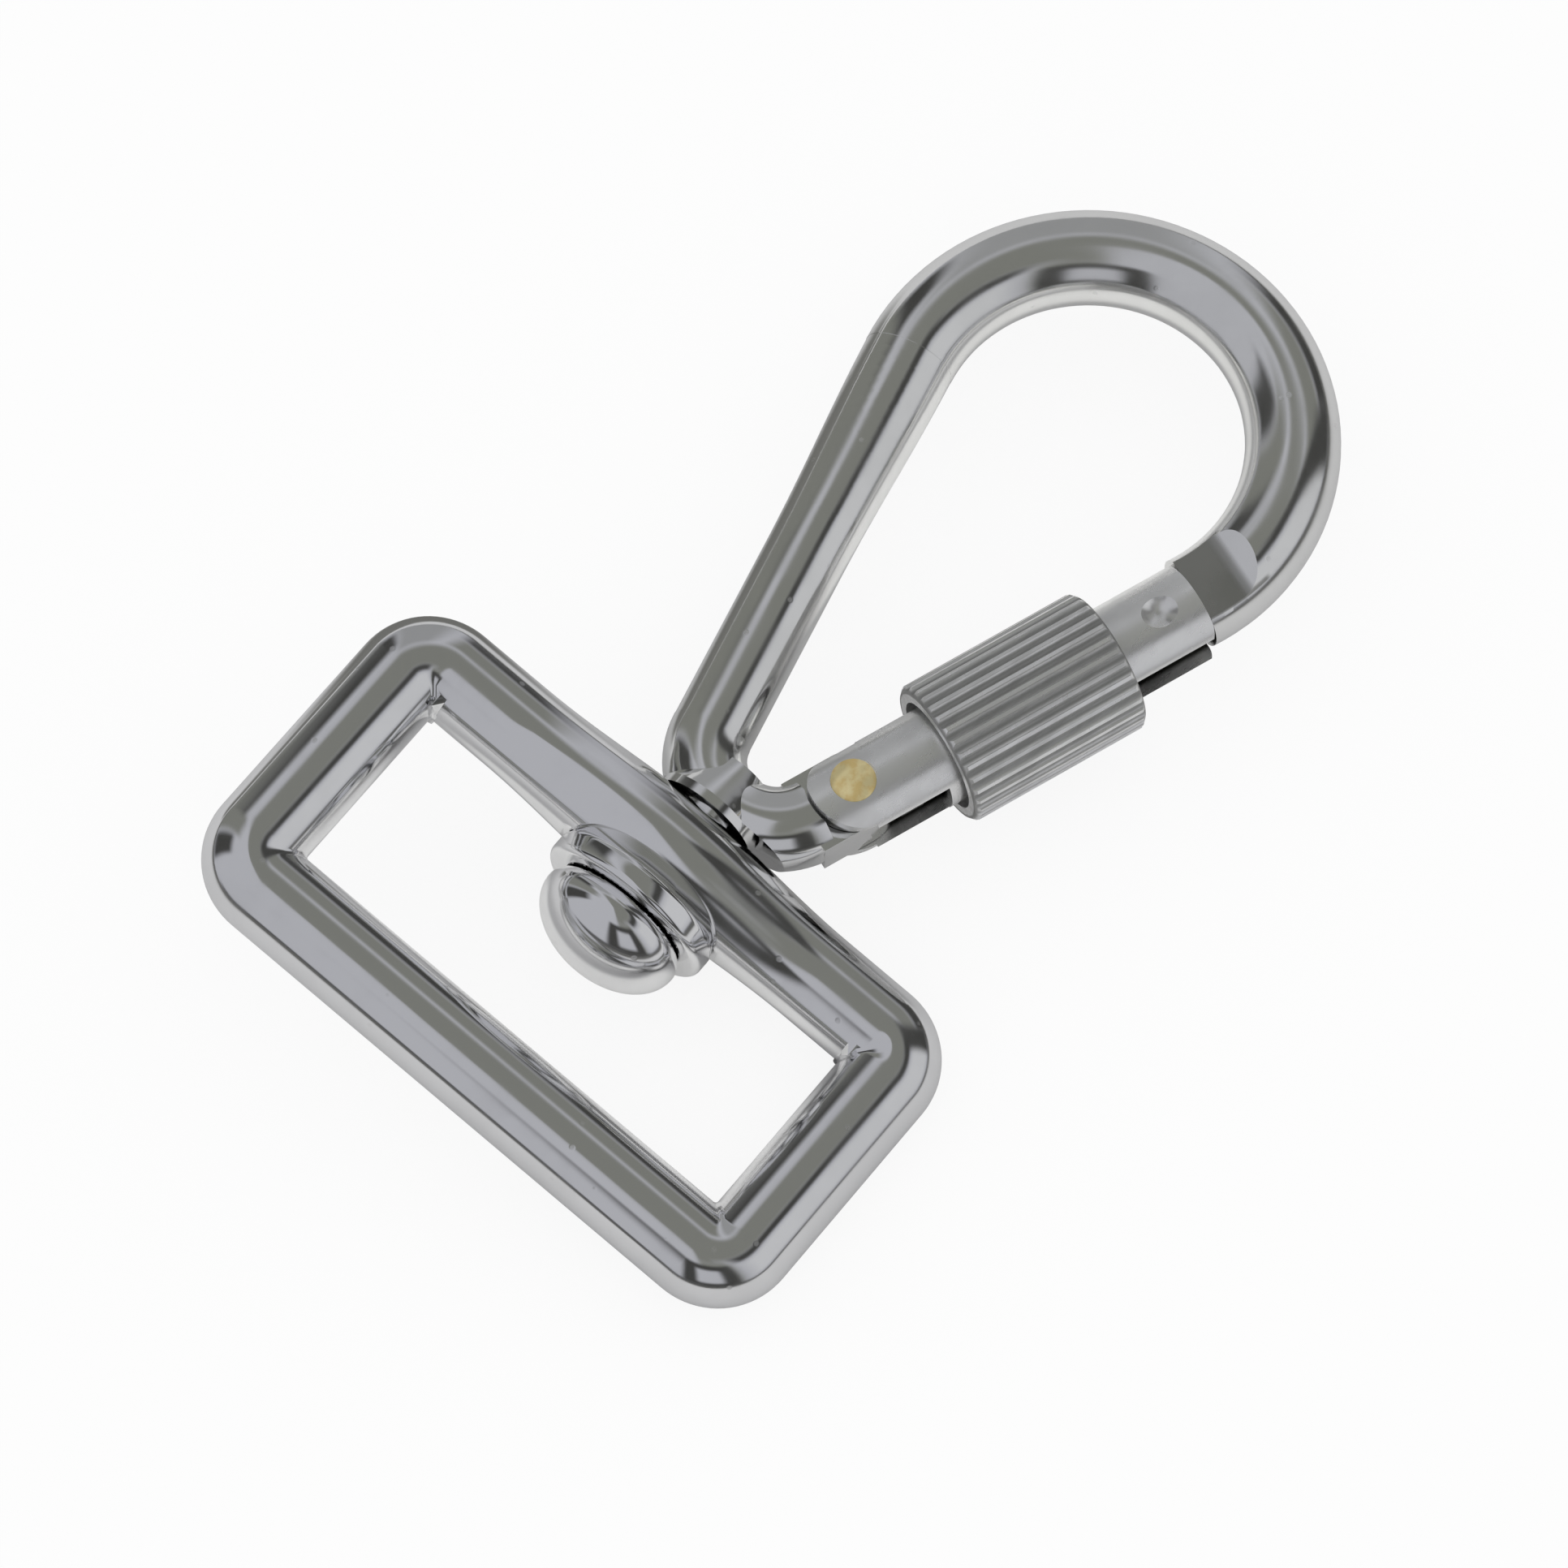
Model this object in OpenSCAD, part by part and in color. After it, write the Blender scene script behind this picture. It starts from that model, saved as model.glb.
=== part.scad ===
// Swivel snap hook with a screw-lock gate and a loop for flat webbing.
// Millimetres. The origin is in the middle of the webbing slot.
// +X runs beside the swivel axis to the hook, +Y to the spine side, +Z up from the hook's plane.

/* [Strap loop] */
// Clear width of the webbing slot
slot_width = 38; // [30:1:50]
// Clear height of the webbing slot, along the swivel axis
slot_height = 14; // [13:0.5:20]
// Diameter of the round bar of the loop
loop_bar = 7; // [6:0.1:7.4]
// Diameter of the swollen middle of the bar that carries the swivel
barrel_d = 8.2; // [7.6:0.1:8.6]
// Length of the swelling along that bar
barrel_length = 28; // [24:1:30]
// Turn of the loop about the swivel axis as it lies at rest, in degrees
loop_roll = 11; // [0:1:20]

/* [Swivel] */
// Distance of the swivel axis from the middle of the slot, along Y
swivel_y = -0.5; // [-1:0.1:1]
// Diameter of the stud's shank in the loop
shank_d = 5; // [4:0.1:5.4]
// Diameter of the stud's tenon in the hook
tenon_d = 3.4; // [2.6:0.1:3.6]
// Widest diameter of the stud's domed head
head_d = 11.5; // [10.8:0.1:12]
// Height of the head up to its widest ring
head_band = 1.1; // [0.8:0.1:1.6]
// Height of the dome past the widest ring
head_dome = 3.8; // [3.2:0.1:4.2]
// Diameter of the washer under the head
washer_d = 13.7; // [12:0.1:14]
// Thickness of the washer
washer_t = 2; // [1.4:0.1:2.2]
// Diameter of the flared foot of the neck
neck_d = 8.2; // [7.4:0.1:8.8]

/* [Hook] */
// Radius of the crown's bend, to the middle of the bar
crown_radius = 14.7; // [13:0.1:18]
// Diameter of the bar round the crown
crown_bar = 7; // [6.8:0.1:7.4]
// Diameter of the bar at the middle of the spine
spine_bar = 6.1; // [5.4:0.1:6.6]
// Radius of the tight bend at the base, to the middle of the bar
base_radius = 5.2; // [5:0.1:6]
// Diameter of the bar round the base
base_bar = 6.1; // [6:0.1:6.4]
// Distance from the flat of the base up to the middle of the base bend
base_rise = 6.1; // [5.7:0.1:6.4]
// Lean of the spine away from the swivel axis, in degrees
spine_lean = 12.9; // [11:0.1:15]
// Lean of the gate away from the swivel axis, in degrees
gate_lean = 20; // [18:0.1:22]
// Thickness of the flat tongue on the nose that enters the gate
tongue_t = 2.6; // [2:0.1:2.8]
// Length of that tongue
tongue_length = 2.8; // [2:0.1:3.4]
// Distance between the two flats on the nose
nose_flats = 4.8; // [4.4:0.1:5.4]

/* [Gate] */
// Outside diameter of the gate
gate_d = 7.4; // [7.2:0.1:7.6]
// Bore of the gate
gate_bore = 5.4; // [5.2:0.1:5.6]
// Width of the fork in the gate and of the two slots along its outer side
fork_gap = 3.6; // [3.2:0.1:3.8]
// Distance from the end of the base bend to the gate's pin
lug_reach = 3.2; // [3:0.1:3.8]
// Distance from the gate's middle line in to its pin
pin_inset = 0.3; // [0.1:0.1:0.5]
// Radius of the round ends of the gate's ears
ear_radius = 3.3; // [3.1:0.1:3.5]
// Diameter of the gate's pin
pin_d = 2.4; // [2:0.1:2.6]
// Diameter of the pin's riveted heads
pin_head_d = 3.3; // [3:0.1:3.6]
// Angle through which the gate opens, in degrees
gate_opening = 35; // [20:1:35]
// Diameter of the gate spring, outside
spring_d = 4.7; // [4.4:0.1:4.8]
// Diameter of the spring's wire
spring_wire = 0.6; // [0.4:0.05:0.7]
// Turns of the spring
spring_turns = 11; // [7:1:13]

/* [Locking sleeve] */
// Outside diameter of the sleeve over its ribs
sleeve_d = 11; // [10.4:0.1:11.6]
// Length of the sleeve
sleeve_length = 14.4; // [12:0.1:15]
// Distance from the gate's pin to the middle of the sleeve at rest
sleeve_place = 14.1; // [13.5:0.1:15]
// Number of grooves round the sleeve
sleeve_grooves = 32; // [24:1:36]
// Depth of the grooves
groove_depth = 0.3; // [0.2:0.05:0.4]

/* [Clearances] */
// Gap all round a shaft that turns or slides in its hole
running_gap = 0.06; // [0.04:0.01:0.08]
// Play of the swivel along its axis, on each side
swivel_play = 0.15; // [0.1:0.01:0.25]
// Gap between faces that move past each other
face_gap = 0.2; // [0.15:0.01:0.3]

/* [Hidden] */
$fn = 72;
// Distance by which cuts run past a face
past = 0.1;
// Height of the step that is left where one round bar runs into another
blend_step = 0.03;

// Swivel, from the slot outwards along X
bar_x = slot_height / 2 + loop_bar / 2;
bar_y = slot_width / 2 + loop_bar / 2;
// Flats cut into the swelling for the washer and for the foot of the neck
washer_flat = 0.1;
neck_flat = 0.5;
washer_seat_x = slot_height / 2 - washer_flat;
neck_seat_x = bar_x + barrel_d / 2 - neck_flat;
head_top_x = washer_seat_x - washer_t - swivel_play;
neck_foot_x = neck_seat_x + swivel_play;
base_flat_x = bar_x + barrel_d / 2 + swivel_play + 0.1;
base_center = [base_flat_x + base_rise, -1.8];
tenon_end_x = base_center[0] - base_radius + base_bar / 2 - 0.8;
neck_top_x = base_center[0] - base_radius + base_bar / 2 - 0.3;

// Hook: the two straight lines leave the base bend at this angle to each other
spread = spine_lean + gate_lean;
// The base bend ends this far outside the nose's middle line
end_offset = 0.3;
spine_length = (end_offset + (crown_radius - base_radius) * (1 + cos(spread))) / sin(spread);
spine_dir = [cos(spine_lean), sin(spine_lean)];
spine_out = [-sin(spine_lean), cos(spine_lean)];
gate_dir = [cos(gate_lean), -sin(gate_lean)];
gate_out = [-sin(gate_lean), -cos(gate_lean)];
spine_foot = base_center + base_radius * spine_out;
spine_head = spine_foot + spine_length * spine_dir;
crown_center = spine_head - crown_radius * spine_out;
lug_foot = base_center + base_radius * gate_out;
pin_place = lug_foot + lug_reach * gate_dir;
nose_place = crown_center + crown_radius * gate_out;
// Distance along the gate from the pin to the end of the crown's bend
nose_reach = (nose_place - pin_place) * gate_dir;
// The nose's face lies this far past the point where the bend runs along the gate
nose_stub = 0.7;
nose_face = nose_reach - nose_stub;
nose_overrun = 5;
gate_length = nose_face - face_gap;

// Fork of the gate and the lug between its ears
lug_t = fork_gap - face_gap;
lug_radius = ear_radius - 0.3;
lug_cam = 2.3;
fork_bore = lug_radius + face_gap;
// The inner wall of the gate starts where it clears the round lug
fork_inner = sqrt(pow(fork_bore, 2) - pow(gate_bore / 2 - pin_inset, 2));
// Ends of the hollows in the gate, from the pin
web_start = 19;
web_t = 1;
slot_end = 5.9;
window_start = web_start + web_t + 0.4;
tip_round = 1.3;
// Wide mouth at each end of the sleeve's bore: it takes a third of the wall
mouth_d = gate_d + (sleeve_d - gate_d) / 3;

// Spring and plunger
plunger_d = gate_bore - 4 * running_gap;
plunger_head = 1.8;
plunger_stem = spring_d - 2 * spring_wire - 0.6;
plunger_length = 6;
plunger_gap = 0.08;
plunger_start = lug_cam + plunger_gap;
spring_start = plunger_start + plunger_head + 0.05;
spring_end = web_start - 0.05;

// Puts the middle of things drawn along +Z on a line along +X
module along_x() {
    rotate([0, 90, 0]) children();
}

// Puts children drawn in the gate's own frame in place: the pin is at its origin,
// +X runs to the nose, +Y to the inside of the hook
module at_gate() {
    translate([pin_place[0], pin_place[1], 0])
        rotate([0, 0, -gate_lean])
            children();
}

// Puts children on the gate's middle line, which runs outside its pin
module on_gate_line() {
    at_gate() translate([0, -pin_inset, 0]) children();
}

// Puts children on the swivel axis
module on_swivel() {
    translate([0, swivel_y, 0]) children();
}

// Smooth step from 0 to 1 as t runs from 0 to 1
function ease(t) = (1 - cos(180 * min(max(t, 0), 1))) / 2;

// Radius of the swelling at a distance y from its middle; its ends lie just inside the plain bar
function swell_r(y) =
    loop_bar / 2 - blend_step
    + (barrel_d - loop_bar + 2 * blend_step) / 2 * (1 - ease(abs(y) / (barrel_length / 2)));

module swelling() {
    half = barrel_length / 2;
    step = half / 20;
    rotate([-90, 0, 0])
        rotate_extrude()
            polygon(concat([[0, -half]],
                           [for (y = [-half : step : half + 0.01]) [swell_r(y), y]],
                           [[0, half]]));
}

module strap_loop() {
    color("#9b9ca0")
        difference() {
            // The bare loop, turned about the swivel axis
            on_swivel()
                rotate([loop_roll, 0, 0])
                    translate([0, -swivel_y, 0]) {
                        for (side = [-1, 1]) {
                            translate([side * bar_x, 0, 0])
                                rotate([90, 0, 0]) cylinder(d = loop_bar, h = 2 * bar_y, center = true);
                            translate([0, side * bar_y, 0])
                                along_x() cylinder(d = loop_bar, h = 2 * bar_x, center = true);
                            for (end = [-1, 1])
                                translate([end * bar_x, side * bar_y, 0]) sphere(d = loop_bar);
                        }
                        translate([bar_x, 0, 0]) swelling();
                    }
            on_swivel() {
                // Bore for the stud's shank
                translate([slot_height / 2 - 1, 0, 0])
                    along_x() cylinder(d = shank_d + 2 * running_gap, h = barrel_d + 2);
                // Flat for the washer
                translate([washer_seat_x - 2, 0, 0])
                    along_x() cylinder(d = washer_d + 0.6, h = 2);
                // Flat for the foot of the neck
                translate([neck_seat_x, 0, 0])
                    along_x() cylinder(d = neck_d + 0.8, h = 2);
            }
        }
}

// The washer's rim is fully round
module swivel_washer() {
    bore_r = shank_d / 2 + running_gap;
    round_r = washer_t / 2;
    color("#a2a3a6")
        on_swivel()
            translate([washer_seat_x - washer_t, 0, 0])
                along_x()
                    rotate_extrude() {
                        translate([bore_r, 0]) square([washer_d / 2 - bore_r - round_r, washer_t]);
                        translate([washer_d / 2 - round_r, round_r]) circle(r = round_r);
                    }
}

// Radius of the stud's head at height u over its widest ring; u is negative on the dome
function head_r(u) =
    let (upper = head_band * 2.35)
    head_d / 2 * (u > 0 ? sqrt(1 - pow(u / upper, 2)) : sqrt(max(0, 1 - pow(u / head_dome, 2))));

module swivel_stud() {
    ring_x = head_top_x - head_band;
    color("#a6a7aa")
        on_swivel() {
            translate([ring_x, 0, 0])
                along_x()
                    rotate_extrude()
                        polygon(concat([for (a = [-90 : 6 : 0])
                                           [head_r(head_dome * sin(a)), head_dome * sin(a)]],
                                       [for (k = [1 : 6]) [head_r(head_band * k / 6), head_band * k / 6]],
                                       [[0, head_band]]));
            translate([head_top_x - past, 0, 0])
                along_x() cylinder(d = shank_d, h = neck_foot_x - head_top_x + past);
            translate([neck_foot_x - past, 0, 0])
                along_x() cylinder(d = tenon_d, h = tenon_end_x - neck_foot_x + past);
        }
}

// Radius of the spine's bar at a share t of its length, from the base to the crown
function spine_r(t) =
    spine_bar / 2 - blend_step
    + (base_bar - spine_bar) / 2 * (1 - ease(t / 0.3))
    + (crown_bar - spine_bar) / 2 * ease((t - 0.45) / 0.55);

module spine() {
    steps = 36;
    // The ends run on into both bends, a hair thinner than they are
    spigot = 0.3;
    translate([spine_foot[0], spine_foot[1], 0])
        rotate([0, 0, spine_lean])
            along_x()
                rotate_extrude()
                    polygon(concat([[0, -spigot], [spine_r(0), -spigot]],
                                   [for (k = [0 : steps]) [spine_r(k / steps), spine_length * k / steps]],
                                   [[spine_r(1), spine_length + spigot], [0, spine_length + spigot]]));
}

// Round bar bent to an arc in the XY plane, from one angle to another about a centre
module bent_bar(center, radius, d, from, to) {
    translate([center[0], center[1], 0])
        rotate([0, 0, from])
            rotate_extrude(angle = to - from)
                translate([radius, 0]) circle(d = d);
}

// Flared neck under the base, with a straight rim where it turns on the loop
module neck() {
    rim = 0.7;
    on_swivel() {
        translate([neck_foot_x, 0, 0])
            along_x() cylinder(d = neck_d, h = rim);
        translate([neck_foot_x + rim, 0, 0])
            along_x() cylinder(d1 = neck_d, d2 = tenon_d + 1.6, h = neck_top_x - neck_foot_x - rim);
    }
}

// Flat lug that the gate's ears straddle, in the gate's frame
module lug() {
    intersection() {
        union() {
            cylinder(r = lug_radius, h = lug_t, center = true);
            translate([-lug_reach - 1, -lug_radius, -lug_t / 2])
                cube([lug_reach + 1, 2 * lug_radius, lug_t]);
        }
        translate([lug_cam - 4 * lug_radius, -2 * lug_radius, -lug_t])
            cube([4 * lug_radius, 4 * lug_radius, 2 * lug_t]);
    }
}

// Cuts that shape the nose out of the end of the crown's bar: its end face,
// and a flat above and below with a round shoulder behind it
module nose_cuts() {
    flat_length = 2.9;
    shoulder_r = 3;
    translate([nose_face - 2 * crown_bar, -crown_bar, -crown_bar])
        cube(2 * crown_bar);
    for (side = [-1, 1])
        scale([1, 1, side])
            translate([nose_face - past, -crown_bar, nose_flats / 2]) {
                cube([flat_length + past, 2 * crown_bar, crown_bar]);
                translate([flat_length + past, 0, shoulder_r])
                    rotate([-90, 0, 0]) cylinder(r = shoulder_r, h = 2 * crown_bar);
            }
}

// The tongue stays deep in the gate, clear of its bore
module tongue() {
    reach = gate_bore / 2 - face_gap;
    translate([nose_face - tongue_length, -pin_inset - reach * 0.5, -tongue_t / 2])
        cube([tongue_length + 1, reach * 1.2, tongue_t]);
}

module hook_body() {
    color("#98999c")
        difference() {
            union() {
                difference() {
                    // The bend runs on past the nose's face and is cut off there
                    bent_bar(crown_center, crown_radius, crown_bar, -90 - gate_lean - nose_overrun, 90 + spine_lean);
                    at_gate() nose_cuts();
                }
                spine();
                difference() {
                    bent_bar(base_center, base_radius, base_bar, 90 + spine_lean, 270 - gate_lean);
                    // Flat of the base, clear of the swollen bar as it turns under it
                    translate([base_flat_x - 10, -20, -10]) cube([10, 40, 20]);
                }
                neck();
                at_gate() {
                    lug();
                    tongue();
                }
            }
            // Hollows beside the lug for the round ends of the gate's ears
            at_gate()
                for (side = [-1, 1])
                    scale([1, 1, side])
                        translate([0, 0, lug_t / 2])
                            cylinder(r = ear_radius + face_gap, h = 5);
            // Bore for the gate's pin
            at_gate() cylinder(d = pin_d + 2 * running_gap, h = 20, center = true);
            // Blind hole for the stud's tenon
            on_swivel()
                translate([neck_foot_x - past, 0, 0])
                    along_x() cylinder(d = tenon_d + 0.04, h = tenon_end_x - neck_foot_x + past + 0.05);
        }
}

module gate() {
    block = 2 * gate_d;
    stake_r = 1.9;
    color("#b4b4b2")
        difference() {
            union() {
                on_gate_line() along_x() cylinder(d = gate_d, h = gate_length);
                // Round ears behind the pin
                intersection() {
                    on_gate_line()
                        translate([-ear_radius - 1, 0, 0])
                            along_x() cylinder(d = gate_d, h = ear_radius + 1 + past);
                    at_gate() cylinder(r = ear_radius, h = block, center = true);
                }
            }
            on_gate_line() {
                // Bore for the spring, up to the web
                translate([fork_inner, 0, 0])
                    along_x() cylinder(d = gate_bore, h = web_start - fork_inner);
                // Pocket for the tongue of the nose
                translate([web_start + web_t, 0, 0])
                    along_x() cylinder(d = gate_bore, h = gate_length);
                // Fork that straddles the lug, open further on the outer side
                translate([-block, -block / 2, -fork_gap / 2])
                    cube([block + fork_inner, block, fork_gap]);
                translate([-block, -block / 2, -fork_gap / 2])
                    cube([block + fork_bore, block / 2 + gate_bore / 2, fork_gap]);
                translate([0, -block / 2, -fork_gap / 2])
                    cube([slot_end, block / 2, fork_gap]);
                // Slot on the outer side that lets the tongue out as the gate swings in
                translate([window_start, -block / 2, -fork_gap / 2])
                    cube([gate_length, block / 2, fork_gap]);
                // Rounded lips at the mouth of that slot
                translate([gate_length - tip_round, -gate_d / 2 + tip_round, 0])
                    difference() {
                        translate([0, -tip_round - past, -gate_d])
                            cube([tip_round + past, tip_round + past, block]);
                        cylinder(r = tip_round, h = 2 * block, center = true);
                    }
                // Stake marks above and below, near the nose
                for (side = [-1, 1])
                    translate([gate_length - 3, 0, side * (gate_d / 2 + 1.3)])
                        sphere(r = stake_r);
            }
            // Bore for the pin, and the seats of its heads
            at_gate() {
                cylinder(d = pin_d + 0.04, h = block, center = true);
                for (side = [-1, 1])
                    scale([1, 1, side])
                        translate([0, 0, gate_d / 2 - 0.3])
                            cylinder(d = pin_head_d + 0.1, h = 2);
            }
        }
}

module gate_pin() {
    head_z = gate_d / 2 - 0.3;
    head_h = 0.45;
    color("#d9bd6a")
        at_gate() {
            cylinder(d = pin_d, h = 2 * head_z + past, center = true);
            for (side = [-1, 1])
                scale([1, 1, side])
                    translate([0, 0, head_z])
                        rotate_extrude()
                            intersection() {
                                translate([0, -pin_head_d * 1.1 + head_h])
                                    circle(r = pin_head_d * 1.1, $fn = 96);
                                square([pin_head_d / 2, head_h]);
                            }
        }
}

// Distance along the spring after so many turns; the first and last turns are closed
function coil_x(turns) =
    let (closed = 1.12 * spring_wire,
         length = spring_end - spring_start - spring_wire,
         open = (length - 2 * closed) / (spring_turns - 2))
    turns < 1 ? turns * closed
    : turns > spring_turns - 1 ? length - (spring_turns - turns) * closed
    : closed + (turns - 1) * open;

// Points of one ring of the wire after so many turns
function wire_ring(turns, sides) =
    let (r = (spring_d - spring_wire) / 2,
         x = spring_start + spring_wire / 2 + coil_x(turns))
    [for (k = [0 : sides - 1])
        let (a = 360 * k / sides, out = r + spring_wire / 2 * cos(a))
        [x + spring_wire / 2 * sin(a), out * cos(360 * turns), out * sin(360 * turns)]];

module gate_spring() {
    sides = 6;
    per_turn = 14;
    rings = spring_turns * per_turn;
    points = [for (i = [0 : rings]) each wire_ring(i / per_turn, sides)];
    skin = [for (i = [0 : rings - 1])
               for (k = [0 : sides - 1])
                   let (a = i * sides + k, b = i * sides + (k + 1) % sides)
                   each [[a, b, b + sides], [a, b + sides, a + sides]]];
    color("#6f7073")
        on_gate_line()
            polyhedron(points = points,
                       faces = concat([[for (k = [sides - 1 : -1 : 0]) k]],
                                      skin,
                                      [[for (k = [0 : sides - 1]) rings * sides + k]]));
}

module spring_plunger() {
    color("#8a8b8d")
        on_gate_line()
            translate([plunger_start, 0, 0])
                along_x() {
                    cylinder(d = plunger_d, h = plunger_head);
                    cylinder(d = plunger_stem, h = plunger_length);
                }
}

module lock_sleeve() {
    half = sleeve_length / 2;
    nose_mouth = 3.6;
    hinge_mouth = 2;
    groove_r = 0.42;
    bevel = 0.35;
    color("#808285")
        on_gate_line()
            translate([sleeve_place, 0, 0])
                along_x()
                    difference() {
                        union() {
                            cylinder(d = sleeve_d, h = sleeve_length - 2 * bevel, center = true);
                            for (side = [-1, 1])
                                scale([1, 1, side])
                                    translate([0, 0, half - bevel])
                                        cylinder(d1 = sleeve_d, d2 = sleeve_d - 2 * bevel, h = bevel);
                        }
                        for (k = [0 : sleeve_grooves - 1])
                            rotate([0, 0, 360 * k / sleeve_grooves])
                                translate([sleeve_d / 2 + groove_r - groove_depth, 0, 0])
                                    cylinder(r = groove_r, h = sleeve_length + 2, center = true, $fn = 24);
                        cylinder(d = gate_d + 2 * running_gap, h = sleeve_length + 2, center = true);
                        translate([0, 0, half - nose_mouth]) cylinder(d = mouth_d, h = nose_mouth + past);
                        translate([0, 0, -half - past]) cylinder(d = mouth_d, h = hinge_mouth + past);
                    }
}

strap_loop();
swivel_washer();
swivel_stud();
hook_body();
gate();
gate_pin();
gate_spring();
spring_plunger();
lock_sleeve();
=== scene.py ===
# %% [markdown]
# # A swivel snap hook of polished metal
# The object is a snap hook on a swivel, with a loop for flat webbing. The solids come from the
# CAD part. This lesson gives each of them its finish and sets up a small photo table round
# them. Everything is in metres, in the same frame as the solids: +X along the swivel to the
# hook, +Y to the spine of the hook, +Z up.

# %% Load the solids
import math

import bpy
from mathutils import Matrix, Vector


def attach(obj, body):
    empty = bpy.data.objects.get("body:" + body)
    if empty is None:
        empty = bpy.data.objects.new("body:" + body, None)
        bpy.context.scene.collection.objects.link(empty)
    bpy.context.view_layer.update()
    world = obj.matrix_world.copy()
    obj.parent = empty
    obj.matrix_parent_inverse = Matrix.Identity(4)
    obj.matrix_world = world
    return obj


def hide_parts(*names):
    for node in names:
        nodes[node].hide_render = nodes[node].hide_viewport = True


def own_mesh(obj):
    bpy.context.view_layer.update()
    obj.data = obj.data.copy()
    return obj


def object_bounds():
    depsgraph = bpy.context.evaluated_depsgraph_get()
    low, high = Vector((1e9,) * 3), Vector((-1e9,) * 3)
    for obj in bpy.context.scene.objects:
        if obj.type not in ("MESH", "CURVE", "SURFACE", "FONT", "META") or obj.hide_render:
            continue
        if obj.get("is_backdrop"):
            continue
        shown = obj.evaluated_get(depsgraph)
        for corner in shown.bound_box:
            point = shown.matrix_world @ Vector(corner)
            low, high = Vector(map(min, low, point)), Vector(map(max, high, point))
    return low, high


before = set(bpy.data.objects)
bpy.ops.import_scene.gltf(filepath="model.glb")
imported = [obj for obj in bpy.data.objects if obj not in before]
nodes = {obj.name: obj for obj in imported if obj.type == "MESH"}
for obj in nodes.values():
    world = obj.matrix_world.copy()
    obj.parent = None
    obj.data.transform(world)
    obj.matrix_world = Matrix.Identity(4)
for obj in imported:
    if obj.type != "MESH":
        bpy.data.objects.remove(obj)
cad_low, cad_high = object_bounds()
MM = 0.001
print("solids:", sorted(nodes))
print("box in mm:", [round(value / MM, 1) for value in (*cad_low, *cad_high)])

# %% [markdown]
# ## Shader maths as plain sums
# A finish is easier to read when its maths looks like maths. A small class wraps the output of
# a node, so that plus, minus, times and divide each add one Math node. The reflected forms are
# there too, so that 1 - mask works.

# %% A wrapper for node outputs
class Value:
    def __init__(self, tree, out):
        self.tree = tree
        self.out = out

    def math(self, operation, other=None, third=None, swap=False):
        node = self.tree.nodes.new("ShaderNodeMath")
        node.operation = operation
        first, second = (other, self) if swap else (self, other)
        for socket, value in zip(node.inputs, (first, second, third)):
            if isinstance(value, Value):
                self.tree.links.new(value.out, socket)
            elif value is not None:
                socket.default_value = value
        return Value(self.tree, node.outputs[0])

    def __add__(self, other):
        return self.math("ADD", other)

    def __radd__(self, other):
        return self.math("ADD", other, swap=True)

    def __sub__(self, other):
        return self.math("SUBTRACT", other)

    def __rsub__(self, other):
        return self.math("SUBTRACT", other, swap=True)

    def __mul__(self, other):
        return self.math("MULTIPLY", other)

    def __rmul__(self, other):
        return self.math("MULTIPLY", other, swap=True)

    def __truediv__(self, other):
        return self.math("DIVIDE", other)


# %% [markdown]
# ## A finish is a tree of nodes
# Every other node comes from one method, add(): it takes the node's type, its settings and the
# values or links of its sockets. The same class serves the materials and the world, because
# both hold a node tree.

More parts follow.
